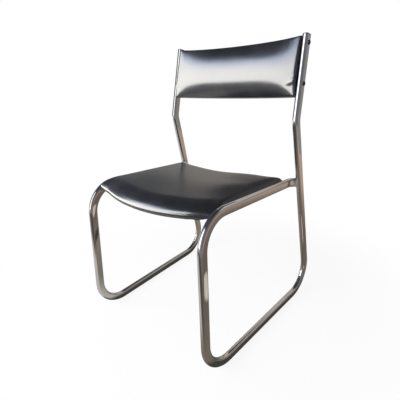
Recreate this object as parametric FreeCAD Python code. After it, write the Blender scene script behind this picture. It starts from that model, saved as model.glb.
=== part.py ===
"""Sled base chair: two bent flat-oval tube sides, padded seat and padded backrest."""
import FreeCAD
import Part
import math
import os

V = FreeCAD.Vector

# Flat-oval steel tube of the two sides.
tube_deep = 26.0
tube_thin = 16.0
tube_corner = 7.0
tube_wall = 1.5
bend_radius = 84.0
kink_radius = 52.0

# Corner points of one side, as half spans, depths from the front foot or in from the rear one, and heights.
runner_length = 545.0
runner_front_half = 234.0
runner_rear_half = 249.0
rail_half = 213.0
rail_front_y = 40.0
rail_front_z = 436.0
rail_slope = 4.3
kink_half = 229.0
kink_in = 117.0
kink_z = 584.0
top_half = 220.0
top_in = 69.0
top_z = 786.5

# Outward bend at the rear end of each seat rail, and its weld.
rail_end_reach = 22.0
rail_end_radius = 32.0
weld_size = 1.6

# Plastic plugs in the open tops of the uprights.
cap_flange = 2.0
cap_plug = 10.0
cap_fit = 0.2

# Seat pad, measured in the plane of the rails.
seat_gap = 0.4
seat_depth = 328.0
seat_front = 38.0
seat_bow = 44.0
seat_dish = 10.0
seat_rise = 7.0
seat_thick = 22.0
board_thick = 8.0
board_margin = 6.0
front_roll_radius = 23.0
front_roll_angle = 75.0
cover_thick = 1.2
hem_width = 32.0
cloth_lap = 12.0
soft_clear = 0.3
cloth_thick = 0.6

# Cross bars under the seat.
bar_width = 25.0
bar_thick = 5.0
bar_front_in = 74.0
bar_rear_in = 66.0
bar_weld = 3.0
bar_play = 0.1
seat_screw_x = 120.0

# Backrest pad between the uprights.
back_height = 147.0
back_mid_z = 713.0
back_top_sag = 9.0
back_bow = 14.0
back_edge = 18.0
back_front_bulge = 20.0
back_rear_bulge = 7.0
back_end_bulge = 5.0
back_core_thick = 12.0
back_core_margin = 10.0
back_gap = 0.4

# Fasteners.
screw_d = 6.0
screw_head_d = 11.0
screw_head_h = 3.0
hole_clear = 0.4
insert_d = 9.0
insert_length = 20.0
insert_fit = 0.1
screw_spare = 2.0
back_screw_high = 58.0
back_screw_low = -39.0
washer_d = 14.0
washer_h = 1.2
tnut_flange_d = 17.0
tnut_flange_h = 1.2
staple_width = 10.0
staple_wire = 0.9
staple_leg = 5.0
staple_pitch = 45.0

X_AXIS = V(1, 0, 0)

# Rounding of the seat's side edges: distance in from the edge and thickness, as shares.
EDGE_ROUND = ((3.0, 1.0), (1.9, 1.0), (1.3, 1.0), (0.75, 0.95), (0.35, 0.78), (0.1, 0.47), (0.0, 0.16))


def unit(v):
    return V(v).normalize()


def rounded_ring(centre, n, d, thin, deep, corner):
    """Closed rounded rectangle across n (thin way) and d (deep way)."""
    a = deep / 2 - corner
    b = thin / 2 - corner
    c45 = math.sqrt(0.5) * corner

    def at(x, y):
        return centre + n * x + d * y

    edges = []
    for sx, sy in ((1, 1), (-1, 1), (-1, -1), (1, -1)):
        mid = V(sx * (b + c45), sy * (a + c45))
        side_pt = V(sx * (b + corner), sy * a)
        end_pt = V(sx * b, sy * (a + corner))
        first, last = (side_pt, end_pt) if sx * sy > 0 else (end_pt, side_pt)
        edges.append(Part.Arc(at(first.x, first.y), at(mid.x, mid.y), at(last.x, last.y)).toShape())
    corners = []
    for i, edge in enumerate(edges):
        corners.append(edge)
        start = edge.Vertexes[-1].Point
        finish = edges[(i + 1) % 4].Vertexes[0].Point
        corners.append(Part.makeLine(start, finish))
    return Part.Wire(corners)


def tube_ring(centre, n, d, inset):
    return rounded_ring(centre, n, d, tube_thin - 2 * inset, tube_deep - 2 * inset, tube_corner - inset)


def cross_axes(t):
    """Thin and deep directions of the tube where it runs along t."""
    n = unit(X_AXIS - t * X_AXIS.dot(t))
    return n, t.cross(n)


def prism(start, end, n, d, inset):
    face = Part.Face(tube_ring(start, n, d, inset))
    return face.extrude(end - start)


class Bend:
    """Round bend at a corner between the unit directions u and w."""

    def __init__(self, corner, u, w, radius):
        self.u = u
        self.angle = math.acos(max(-1.0, min(1.0, u.dot(w))))
        reach = radius * math.tan(self.angle / 2)
        self.first = corner - u * reach
        self.last = corner + w * reach
        self.side = unit(w - u * w.dot(u))
        self.radius = radius
        self.centre = self.first + self.side * radius

    def point(self, a):
        return self.centre - self.side * (self.radius * math.cos(a)) + self.u * (self.radius * math.sin(a))

    def tangent(self, a):
        return self.u * math.cos(a) + self.side * math.sin(a)

    def solid(self, inset):
        count = max(4, int(math.degrees(self.angle) / 10) + 2)
        wires = []
        for i in range(count):
            a = self.angle * i / (count - 1)
            n, d = cross_axes(self.tangent(a))
            wires.append(tube_ring(self.point(a), n, d, inset))
        return Part.makeLoft(wires, True, False)


def rail_height(y):
    return rail_front_z - math.tan(math.radians(rail_slope)) * (y - rail_front_y)


# Corner points of the side at positive x.
P_B = V(rail_half, rail_front_y, rail_front_z)
P_C = V(runner_front_half, 0, tube_deep / 2)
P_D = V(runner_rear_half, runner_length, tube_deep / 2)
P_K = V(kink_half, runner_length - kink_in, kink_z)
P_T = V(top_half, runner_length - top_in, top_z)
RAIL_DIR = V(0, -math.cos(math.radians(rail_slope)), math.sin(math.radians(rail_slope)))
LEG_DIR = unit(P_C - P_B)
RUNNER_DIR = unit(P_D - P_C)
REAR_DIR = unit(P_K - P_D)
UPPER_DIR = unit(P_T - P_K)


def upright_at_rail():
    """Point of the rear upright's axis in the plane of the seat rails."""
    low = P_D.z - rail_height(P_D.y)
    high = P_K.z - rail_height(P_K.y)
    s = low / (low - high)
    return P_D + (P_K - P_D) * s


P_J = upright_at_rail()
P_E = V(rail_half, P_J.y - rail_end_reach, rail_height(P_J.y - rail_end_reach))
STUB_DIR = unit(P_E - P_J)

BEND_E = Bend(P_E, STUB_DIR, RAIL_DIR, rail_end_radius)
BEND_B = Bend(P_B, RAIL_DIR, LEG_DIR, bend_radius)
BEND_C = Bend(P_C, LEG_DIR, RUNNER_DIR, bend_radius)
BEND_D = Bend(P_D, RUNNER_DIR, REAR_DIR, bend_radius)
BEND_K = Bend(P_K, REAR_DIR, UPPER_DIR, kink_radius)
FRONT_EDGE = BEND_C.centre.y - bend_radius - tube_deep / 2
REAR_EDGE = BEND_D.centre.y + bend_radius + tube_deep / 2
MIDDLE_Y = (FRONT_EDGE + REAR_EDGE) / 2
RAIL_UP = RAIL_DIR.cross(X_AXIS)
STUB_N = RAIL_UP.cross(STUB_DIR)
UPPER_N, UPPER_D = cross_axes(UPPER_DIR)
REAR_N, REAR_D = cross_axes(REAR_DIR)


def tube_pieces(inset):
    """Straight lengths and bends of one side, from the rail's end bend to the top."""
    pieces = []
    face = Part.Face(tube_ring(BEND_E.first, STUB_N, RAIL_UP, inset))
    axis = STUB_DIR.cross(RAIL_DIR)
    pieces.append(face.revolve(BEND_E.centre, axis, math.degrees(BEND_E.angle)))
    runs = ((BEND_E.last, BEND_B.first), (BEND_B.last, BEND_C.first), (BEND_C.last, BEND_D.first),
            (BEND_D.last, BEND_K.first), (BEND_K.last, P_T))
    for start, end in runs:
        n, d = cross_axes(unit(end - start))
        pieces.append(prism(start, end, n, d, inset))
    for bend in (BEND_B, BEND_C, BEND_D, BEND_K):
        pieces.append(bend.solid(inset))
    return pieces


def upright_point(along):
    """Point of the upper upright's axis, by distance from the pad's middle height."""
    s = (back_mid_z - P_K.z) / (P_T.z - P_K.z)
    return P_K + (P_T - P_K) * s + UPPER_DIR * along


def cylinder(start, direction, radius, length):
    return Part.makeCylinder(radius, length, start, direction)


def side_frame():
    """Bent tube of the side at positive x, with the rail's end joined to the upright."""
    hollow = []
    for outer, inner in zip(tube_pieces(0.0), tube_pieces(tube_wall)):
        hollow.append(outer.cut(inner))
    stub = prism(P_J, BEND_E.first, STUB_N, RAIL_UP, 0.0)
    stub = stub.cut(prism(P_J, BEND_E.first, STUB_N, RAIL_UP, tube_wall))
    stub = stub.cut(prism(BEND_D.last, BEND_K.first, REAR_N, REAR_D, tube_wall / 2))
    frame = hollow[0].multiFuse(hollow[1:] + [stub])
    frame = frame.removeSplitter()
    for along in (back_screw_high, back_screw_low):
        start = upright_point(along) - UPPER_N * tube_thin
        frame = frame.cut(cylinder(start, UPPER_N, (screw_d + hole_clear) / 2, 2 * tube_thin))
    return frame


def rail_weld():
    """Bead of weld metal around the rail's end where it meets the upright."""
    near = prism(P_J, P_E, STUB_N, RAIL_UP, -weld_size)
    bead = near.common(prism(BEND_D.last, BEND_K.first, REAR_N, REAR_D, -weld_size))
    bead = bead.cut(prism(P_J, P_E, STUB_N, RAIL_UP, 0.0))
    bead = bead.cut(prism(BEND_D.last, BEND_K.first, REAR_N, REAR_D, 0.0))
    return max(bead.Solids, key=lambda s: s.Volume)


def end_cap():
    """Plastic plug with a flange over the open top of an upright."""
    flange = Part.Face(tube_ring(P_T, UPPER_N, UPPER_D, 0.0)).extrude(UPPER_DIR * cap_flange)
    plug = Part.Face(tube_ring(P_T, UPPER_N, UPPER_D, tube_wall + cap_fit)).extrude(UPPER_DIR * -cap_plug)
    return flange.fuse(plug).removeSplitter()


# Seat, in its own frame: x across, y back along the rails, z square to them.
SEAT_HALF = rail_half - tube_thin / 2 - seat_gap
SEAT_REF = tube_deep / 2 + seat_rise - seat_thick / 2
HALF = seat_thick / 2


def seat_fall(x):
    return 1.0 - (x / SEAT_HALF) ** 2


def seat_level(x):
    """Height of the pad's middle surface."""
    return SEAT_REF - seat_dish * seat_fall(x)


def front_path(x, inset, height):
    """Point and turn of the front roll, inset from its end and at a height about the middle surface."""
    roll = math.radians(front_roll_angle)
    turn = max(0.0, roll - inset / front_roll_radius)
    flat = max(0.0, inset - front_roll_radius * roll)
    start = seat_front - seat_bow * seat_fall(x) + (front_roll_radius + HALF) * math.sin(roll)
    radius = front_roll_radius + height
    return V(x, start + flat - radius * math.sin(turn),
             seat_level(x) - front_roll_radius + radius * math.cos(turn)), turn


def seat_profile(x, top, under, inset, nose):
    """Lengthwise outline of a layer between heights top and -under about the middle surface."""
    v0 = seat_level(x)
    rear = seat_front + seat_depth - inset
    sag = nose * (top + under)
    mid = (top - under) / 2
    arc = front_roll_radius * math.radians(front_roll_angle)
    tip, turn = front_path(x, inset, mid)
    tip = tip + V(0, -math.cos(turn), -math.sin(turn)) * sag
    a = V(x, rear, v0 - under)
    b = V(x, rear, v0 + top)
    upper = front_path(x, inset, top)[0]
    lower = front_path(x, inset, -under)[0]
    edges = [Part.Arc(a, V(x, rear + sag, v0 + mid), b).toShape()]
    if turn > 0:
        bends = [[front_path(x, arc + (inset - arc) * share, height)[0] for share in (0.0, 0.5)]
                 for height in (top, -under)]
        edges += [Part.makeLine(b, bends[0][0]),
                  Part.Arc(bends[0][0], bends[0][1], upper).toShape(),
                  Part.Arc(upper, tip, lower).toShape(),
                  Part.Arc(lower, bends[1][1], bends[1][0]).toShape(),
                  Part.makeLine(bends[1][0], a)]
    else:
        edges += [Part.makeLine(b, upper), Part.Arc(upper, tip, lower).toShape(), Part.makeLine(lower, a)]
    return Part.Wire(edges)


def seat_layer(top, under, inset, half, round_over, nose=0.3):
    """Layer of the seat lofted across x; round_over is how far the side edges are rounded in."""
    stations = [(0.0, 1.0), (half * 0.34, 1.0), (half * 0.66, 1.0)]
    if round_over > 0:
        for share, full in EDGE_ROUND:
            stations.append((half - round_over * share, full))
    else:
        stations.append((half, 1.0))
    mid = (top - under) / 2
    thick = (top + under) / 2
    wires = []
    for sign in (-1, 1):
        for x, full in (reversed(stations) if sign < 0 else stations[1:]):
            wires.append(seat_profile(sign * x, mid + thick * full, thick * full - mid, inset, nose))
    return Part.makeLoft(wires, True, False)


def to_seat(shape):
    shape.rotate(V(0, 0, 0), X_AXIS, -rail_slope)
    shape.translate(V(0, rail_front_y, rail_front_z))
    return shape


INNER = HALF - cover_thick
SOFT = INNER - soft_clear
BOARD_TOP = SOFT - board_thick
BAR_TOP = HALF + soft_clear + cloth_thick + bar_play
BAR_FRONT = seat_front + bar_front_in
BAR_REAR = seat_front + seat_depth - bar_rear_in


def seat_tilt(x):
    """Slope of the dished pad across x."""
    return 2.0 * seat_dish * x / SEAT_HALF ** 2


def seat_screw_axes():
    """Point on the pad's middle surface and upward axis of each seat screw."""
    axes = []
    for u in (BAR_FRONT, BAR_REAR):
        for x in (-seat_screw_x, seat_screw_x):
            axes.append((V(x, u + bar_width / 2, seat_level(x)), unit(V(-seat_tilt(x), 0, 1))))
    return axes


def rod(axis, low, high, radius):
    """Cylinder on a seat screw's axis between two heights about the middle surface."""
    point, up = axis
    return cylinder(point + up * low, up, radius, high - low)


def drilled(shape, radius):
    for axis in seat_screw_axes():
        shape = shape.cut(rod(axis, -4 * HALF, 4 * HALF, radius))
    return shape


def seat_cover():
    """Leatherette over top and edges, with a hem turned under the board."""
    outer = seat_layer(HALF, HALF, 0.0, SEAT_HALF, HALF)
    inner = seat_layer(INNER, INNER, cover_thick, SEAT_HALF - cover_thick, INNER)
    opening = seat_layer(0.0, 2 * HALF, hem_width, SEAT_HALF - hem_width, 0.0, 0.05)
    return outer.cut(inner).cut(opening)


def seat_foam():
    inset = cover_thick + soft_clear
    foam = seat_layer(SOFT, SOFT, inset, SEAT_HALF - inset, SOFT)
    foam = foam.cut(seat_layer(soft_clear - BOARD_TOP, 2 * HALF, -HALF, SEAT_HALF + HALF, 0.0, 0.05))
    for axis in seat_screw_axes():
        pocket = rod(axis, -HALF, tnut_flange_h + 2.0 - BOARD_TOP, tnut_flange_d / 2 + soft_clear)
        foam = foam.cut(pocket)
    return foam


def seat_board():
    inset = cover_thick + soft_clear
    board = seat_layer(-BOARD_TOP, SOFT, inset + board_margin, SEAT_HALF - inset - board_margin, 0.0)
    return drilled(board, insert_d / 2)


def seat_cloth():
    """Thin dust cloth over the opening of the hem."""
    cloth = seat_layer(-HALF - soft_clear, HALF + soft_clear + cloth_thick, hem_width - cloth_lap,
                       SEAT_HALF - hem_width + cloth_lap, 0.0, 0.05)
    return drilled(cloth, insert_d / 2)


def seat_tnuts():
    nuts = []
    for axis in seat_screw_axes():
        barrel = rod(axis, 1.0 - SOFT, -BOARD_TOP, insert_d / 2 - insert_fit)
        flange = rod(axis, -BOARD_TOP, tnut_flange_h - BOARD_TOP, tnut_flange_d / 2)
        bore = rod(axis, -2 * HALF, HALF, screw_d / 2 + insert_fit)
        nuts.append(barrel.fuse(flange).cut(bore))
    return Part.makeCompound(nuts)


def bar_arc(drop):
    """Arc under the pad across the full span between the rails."""
    half = rail_half - tube_thin / 2
    ends = seat_level(half) - BAR_TOP - drop
    mid = seat_level(0) - BAR_TOP - drop
    return Part.Arc(V(-half, 0, ends), V(0, 0, mid), V(half, 0, ends))


def cross_bar(u):
    """Flat steel bar curved to the seat, between the inner faces of the rails."""
    top = bar_arc(0.0)
    low = bar_arc(bar_thick)
    edges = [top.toShape(), Part.makeLine(top.EndPoint, low.EndPoint), low.toShape(),
             Part.makeLine(low.StartPoint, top.StartPoint)]
    bar = Part.Face(Part.Wire(Part.__sortEdges__(edges))).extrude(V(0, bar_width, 0))
    bar.translate(V(0, u, 0))
    return drilled(bar, (screw_d + hole_clear) / 2)


def bar_welds():
    """Fillet welds at the front and rear of each bar end."""
    half = rail_half - tube_thin / 2
    high = seat_level(half) - BAR_TOP
    welds = []
    for u in (BAR_FRONT, BAR_REAR):
        for sx in (-1, 1):
            for y, out in ((u, -1), (u + bar_width, 1)):
                corner = V(sx * half, y, high - bar_thick + 0.5)
                on_bar = corner + V(-sx * bar_weld, 0, 0)
                on_rail = corner + V(0, out * bar_weld, 0)
                wire = Part.makePolygon([corner, on_bar, on_rail, corner])
                welds.append(Part.Face(wire).extrude(V(0, 0, bar_thick - 1.0)))
    return Part.makeCompound(welds)


def pan_screw(start, direction, length):
    """Round-headed screw; start is under the head, direction runs into the work."""
    head = cylinder(start - direction * screw_head_h, direction, screw_head_d / 2, screw_head_h)
    rim = [e for e in head.Edges if abs((e.CenterOfMass - start).dot(direction) + screw_head_h) < 0.01]
    head = head.makeFillet(screw_head_h * 0.55, [e for e in rim if len(e.Vertexes) == 1])
    shank = cylinder(start, direction, screw_d / 2, length)
    socket = Part.makePolygon([V(math.cos(math.radians(60 * i)), math.sin(math.radians(60 * i)), 0) * 2.3
                               for i in range(7)])
    recess = Part.Face(socket).extrude(V(0, 0, screw_head_h * 0.6))
    recess.Placement = FreeCAD.Placement(start - direction * screw_head_h,
                                         FreeCAD.Rotation(V(0, 0, 1), direction))
    return head.fuse(shank).cut(recess)


BAR_UNDER = -BAR_TOP - bar_thick


def seat_screws():
    length = bar_thick + washer_h + BAR_TOP - BOARD_TOP + 1.0
    screws = []
    for point, up in seat_screw_axes():
        screws.append(pan_screw(point + up * (BAR_UNDER - washer_h), up, length))
    return Part.makeCompound(screws)


def seat_washers():
    washers = []
    for axis in seat_screw_axes():
        ring = rod(axis, BAR_UNDER - washer_h, BAR_UNDER, washer_d / 2)
        washers.append(ring.cut(rod(axis, BAR_UNDER - washer_h, BAR_UNDER, (screw_d + hole_clear) / 2)))
    return Part.makeCompound(washers)


def staple(x, u, z, along_x, roll):
    """Wire staple driven into the board through cloth and hem; roll turns it about x, in degrees."""
    w = staple_width
    t = staple_wire
    wire = Part.makeBox(w, t, t, V(-w / 2, -t / 2, -t))
    for s in (-w / 2, w / 2 - t):
        wire = wire.fuse(Part.makeBox(t, t, staple_leg, V(s, -t / 2, -t)))
    if not along_x:
        wire.rotate(V(0, 0, 0), V(0, 0, 1), 90)
    wire.rotate(V(0, 0, 0), V(0, 1, 0), -math.degrees(seat_tilt(x)))
    wire.rotate(V(0, 0, 0), X_AXIS, roll)
    wire.translate(V(x, u, z))
    return wire


def spread(low, high):
    """Even staple places from low to high."""
    count = max(2, int((high - low) / staple_pitch))
    return [low + (high - low) * i / count for i in range(count + 1)]


def seat_staples():
    """Staples along the rear, the sides and the underside of the front roll."""
    lap = hem_width - cloth_lap / 2
    half = SEAT_HALF - lap
    rear = seat_front + seat_depth - lap
    skin = HALF + soft_clear + cloth_thick
    run = (front_roll_radius + HALF) * math.sin(math.radians(front_roll_angle))
    staples = []
    for x in spread(-half, half):
        staples.append(staple(x, rear, seat_level(x) - skin, True, 0.0))
    for x in spread(-half + staple_pitch, half - staple_pitch):
        place, turn = front_path(x, lap, -skin)
        staples.append(staple(x, place.y, place.z, True, math.degrees(turn)))
    for u in spread(seat_front + run, rear - staple_pitch):
        clear = bar_width / 2 + staple_width
        if all(abs(u - b - bar_width / 2) > clear for b in (BAR_FRONT, BAR_REAR)):
            for x in (-half, half):
                staples.append(staple(x, u, seat_level(x) - skin, False, 0.0))
    return Part.makeCompound(staples)


# Backrest, in its own frame: x across, -y to the front, z up along the uprights.
BACK_LEAN = math.degrees(math.atan2(P_T.y - P_K.y, P_T.z - P_K.z))
BACK_MID = upright_point(0.0)
BACK_TAPER = -UPPER_DIR.x / math.hypot(UPPER_DIR.y, UPPER_DIR.z)
BACK_HALF = BACK_MID.x - tube_thin / 2 / UPPER_N.x - back_gap
INSERT_START = tube_thin + back_gap + cover_thick + 3 * soft_clear


def to_back(shape):
    shape.rotate(V(0, 0, 0), X_AXIS, -BACK_LEAN)
    shape.translate(V(0, BACK_MID.y, BACK_MID.z))
    return shape


def back_point(s, y, z, inset):
    """Point of the pad at the share s of its half width."""
    return V(s * (BACK_HALF - inset - BACK_TAPER * z), y + back_bow * (1 - s * s), z)


def back_profile(s, inset):
    """Upright outline of the pad at the share s of its half width."""
    fall = 1 - s * s
    soft = 1 - s ** 4
    low = -back_height / 2 + inset
    high = back_height / 2 - inset - back_top_sag * fall
    mid = (low + high) / 2
    edge = back_edge / 2 - inset
    front = edge + back_end_bulge + back_front_bulge * soft
    rear = edge + back_rear_bulge * soft + 1.0
    a = back_point(s, edge, low, inset)
    b = back_point(s, -edge, low, inset)
    c = back_point(s, -edge, high, inset)
    d = back_point(s, edge, high, inset)
    edges = [Part.makeLine(a, b), Part.Arc(b, back_point(s, -front, mid, inset), c).toShape(),
             Part.makeLine(c, d), Part.Arc(d, back_point(s, rear, mid, inset), a).toShape()]
    return Part.Wire(edges)


def back_pad(inset):
    shares = (-1.0, -0.94, -0.8, -0.45, 0.0, 0.45, 0.8, 0.94, 1.0)
    return Part.makeLoft([back_profile(s, inset) for s in shares], True, False)


def back_slab(grow):
    """Curved plywood core, grown all round by the given amount."""
    half = back_core_thick / 2 + grow
    wires = []
    for s in (-1.0, -0.5, 0.0, 0.5, 1.0):
        high = back_height / 2 - back_top_sag - back_core_margin + grow
        low = -back_height / 2 + back_core_margin - grow
        inset = cover_thick + 2 * soft_clear - grow
        corners = ((half, low), (-half, low), (-half, high), (half, high))
        points = [back_point(s, y, z, inset) for y, z in corners]
        wires.append(Part.makePolygon(points + points[:1]))
    return Part.makeLoft(wires, True, False)


def back_screw_axes():
    """Under-head point and inward direction of each backrest screw."""
    axes = []
    for along in (back_screw_high, back_screw_low):
        p = upright_point(along) + UPPER_N * (tube_thin / 2)
        axes.append((p, UPPER_N * -1.0))
        axes.append((V(-p.x, p.y, p.z), V(UPPER_N.x, -UPPER_N.y, -UPPER_N.z)))
    return axes


def pierced(shape, radius):
    """Shape with the passages of the backrest screws."""
    for start, direction in back_screw_axes():
        shape = shape.cut(cylinder(start, direction, radius, INSERT_START + insert_length + screw_spare))
    return shape


def back_core():
    return pierced(to_back(back_slab(0.0)), insert_d / 2)


def back_foam():
    foam = back_pad(cover_thick + soft_clear).cut(back_slab(soft_clear))
    return pierced(to_back(foam), insert_d / 2)


def back_cover():
    cover = back_pad(0.0).cut(back_pad(cover_thick))
    return pierced(to_back(cover), screw_d / 2 + hole_clear)


def back_inserts():
    inserts = []
    for start, direction in back_screw_axes():
        base = start + direction * INSERT_START
        sleeve = cylinder(base, direction, insert_d / 2 - insert_fit, insert_length)
        inserts.append(sleeve.cut(cylinder(base, direction, screw_d / 2 + insert_fit, insert_length)))
    return Part.makeCompound(inserts)


def back_screws():
    length = INSERT_START + insert_length - screw_spare
    return Part.makeCompound([pan_screw(start, direction, length) for start, direction in back_screw_axes()])


def mirrored(shape):
    return shape.mirror(V(0, 0, 0), X_AXIS)


def chair():
    """Every piece by its node name."""
    frame = side_frame()
    weld = rail_weld()
    cap = end_cap()
    nodes = {
        "right_side_frame": frame,
        "left_side_frame": mirrored(frame),
        "right_rail_weld": weld,
        "left_rail_weld": mirrored(weld),
        "right_end_cap": cap,
        "left_end_cap": mirrored(cap),
        "front_cross_bar": to_seat(cross_bar(BAR_FRONT)),
        "rear_cross_bar": to_seat(cross_bar(BAR_REAR)),
        "cross_bar_welds": to_seat(bar_welds()),
        "seat_board": to_seat(seat_board()),
        "seat_foam": to_seat(seat_foam()),
        "seat_cover": to_seat(seat_cover()),
        "seat_dust_cloth": to_seat(seat_cloth()),
        "seat_staples": to_seat(seat_staples()),
        "seat_t_nuts": to_seat(seat_tnuts()),
        "seat_screws": to_seat(seat_screws()),
        "seat_washers": to_seat(seat_washers()),
        "back_core": back_core(),
        "back_foam": back_foam(),
        "back_cover": back_cover(),
        "back_inserts": back_inserts(),
        "back_screws": back_screws(),
    }
    for shape in nodes.values():
        shape.translate(V(0, -MIDDLE_Y, 0))
    return nodes


os.makedirs("parts", exist_ok=True)
for name, shape in chair().items():
    shape.exportStep("parts/" + name + ".step")
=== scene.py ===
"""Sled base chair: chromed tube sides, dished black seat pad and stuffed black backrest."""
import math
from functools import partial

import bmesh
import bpy
import numpy as np
from bpy.props import FloatProperty, FloatVectorProperty, IntProperty, PointerProperty
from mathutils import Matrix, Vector


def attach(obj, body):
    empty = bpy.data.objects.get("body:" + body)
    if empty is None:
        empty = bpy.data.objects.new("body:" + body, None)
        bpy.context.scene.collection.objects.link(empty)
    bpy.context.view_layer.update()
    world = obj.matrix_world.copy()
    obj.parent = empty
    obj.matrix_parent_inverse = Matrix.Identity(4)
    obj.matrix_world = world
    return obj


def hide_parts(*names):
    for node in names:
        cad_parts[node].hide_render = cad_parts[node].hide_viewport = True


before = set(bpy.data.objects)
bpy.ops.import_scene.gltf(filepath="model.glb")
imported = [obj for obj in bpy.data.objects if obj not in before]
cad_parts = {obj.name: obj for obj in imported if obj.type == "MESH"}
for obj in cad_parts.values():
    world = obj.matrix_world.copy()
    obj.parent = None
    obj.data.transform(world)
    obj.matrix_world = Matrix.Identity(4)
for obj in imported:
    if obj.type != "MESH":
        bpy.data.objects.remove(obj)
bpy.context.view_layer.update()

bl_info = {
    "name": "Sled Base Chair",
    "version": (1, 0, 0),
    "blender": (4, 5, 0),
    "location": "3D View > Sidebar > Chair",
    "description": "Dresses the bent tube frame and models its two upholstered pads",
    "category": "Object",
}

CHROMED = ("right_side_frame", "left_side_frame", "right_rail_weld", "left_rail_weld",
           "front_cross_bar", "rear_cross_bar", "cross_bar_welds")
CAPS = ("right_end_cap", "left_end_cap")
ZINCED = ("seat_staples", "seat_t_nuts", "seat_screws", "seat_washers", "back_inserts")
BOARDS = ("seat_board", "back_core")
FOAMS = ("seat_foam", "back_foam")
X_AXIS = Vector((1.0, 0.0, 0.0))
FILL_PRESSURE = 4.0
FILL_FRAMES = 20

LengthProperty = partial(FloatProperty, unit="LENGTH")
AngleProperty = partial(FloatProperty, subtype="ANGLE")
PlaceProperty = partial(FloatVectorProperty, subtype="TRANSLATION")
ColourProperty = partial(FloatVectorProperty, subtype="COLOR", size=4)


class TubeSettings(bpy.types.PropertyGroup):
    """Section and corner points of the bent tube at the right side."""
    deep: LengthProperty(name="Deep way", description="Section the deep way", default=0.026)
    thin: LengthProperty(name="Thin way", description="Section the thin way", default=0.016)
    corner: LengthProperty(name="Corner", description="Corner radius of the section", default=0.007)
    bend: LengthProperty(name="Bend", description="Radius of the four large bends", default=0.084)
    kink: LengthProperty(name="Kink", description="Radius where the upright leans back", default=0.052)
    end_bend: LengthProperty(name="End bend", description="Radius at the rail's rear end", default=0.032)
    rail_front: PlaceProperty(name="Rail corner", description="Front corner of the rail",
                              default=(0.213, -0.22717, 0.436))
    front_foot: PlaceProperty(name="Front foot", description="Front corner of the runner",
                              default=(0.234, -0.26717, 0.013))
    rear_foot: PlaceProperty(name="Rear foot", description="Rear corner of the runner",
                             default=(0.249, 0.27783, 0.013))
    lean_start: PlaceProperty(name="Kink corner", description="Corner where the upright leans back",
                              default=(0.229, 0.16083, 0.584))
    top: PlaceProperty(name="Top", description="Open end under the cap", default=(0.220, 0.20883, 0.7865))
    slope: AngleProperty(name="Slope", description="Fall of the rail to the rear", default=math.radians(4.3))
    end_reach: LengthProperty(name="End reach", description="From upright to the end bend", default=0.022)
    steps: IntProperty(name="Steps", description="Mesh steps in each bend", default=22, min=4)


class SeatPadSettings(bpy.types.PropertyGroup):
    """Sizes of the seat pad, measured in the plane of the rails."""
    half_width: LengthProperty(name="Half width", description="Middle to side edge", default=0.2046)
    front: LengthProperty(name="Front corners", description="Rail's corner to front corners", default=0.038)
    rear: LengthProperty(name="Rear edge", description="Rear edge behind the rail's corner", default=0.366)
    bow: LengthProperty(name="Front bow", description="How far the front's middle comes out", default=0.044)
    dish: LengthProperty(name="Dish", description="How far the middle hangs below the sides", default=0.010)
    level: LengthProperty(name="Level", description="Middle of the pad above the rail's axis", default=0.009)
    thickness: LengthProperty(name="Thickness", description="Pad, board and cover", default=0.022)
    roll_radius: LengthProperty(name="Roll radius", description="Radius of the rolled front", default=0.023)
    roll_angle: AngleProperty(name="Roll angle", description="Turn of the roll", default=math.radians(75))
    fall_radius: LengthProperty(name="Fall radius", description="Slow turn before the nose", default=0.104)
    fall_angle: AngleProperty(name="Fall angle", description="Turn of the fall", default=math.radians(30))
    nose_radius: LengthProperty(name="Nose radius", description="Tight turn of the front", default=0.015)
    nose_angle: AngleProperty(name="Nose angle", description="Turn of the nose", default=math.radians(90))
    crown: LengthProperty(name="Crown", description="Stuffing above the edges in the middle", default=0.010)
    tip: LengthProperty(name="Tip", description="Extra travel of both sheets at the front", default=0.001)
    right_cut: LengthProperty(name="Right cut", description="Travel cut at the front right", default=0.005)
    ear: LengthProperty(name="Ear", description="How far the top's front corners reach out", default=0.006)
    lap: PlaceProperty(name="Lap", description="Shift of the front left corner over the tube's bend",
                       default=(-0.004, -0.012, 0.004))
    rear_rise: LengthProperty(name="Rear rise", description="Stuffing along the rear edge", default=0.005)
    pleat: LengthProperty(name="Pleat", description="Gathers under the front corners", default=0.0011)
    slack: LengthProperty(name="Start slack", description="Top's drop before it is filled", default=0.001)
    columns: IntProperty(name="Columns", description="Mesh columns across", default=80, min=8)
    rows: IntProperty(name="Rows", description="Mesh rows front to rear", default=96, min=8)


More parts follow.
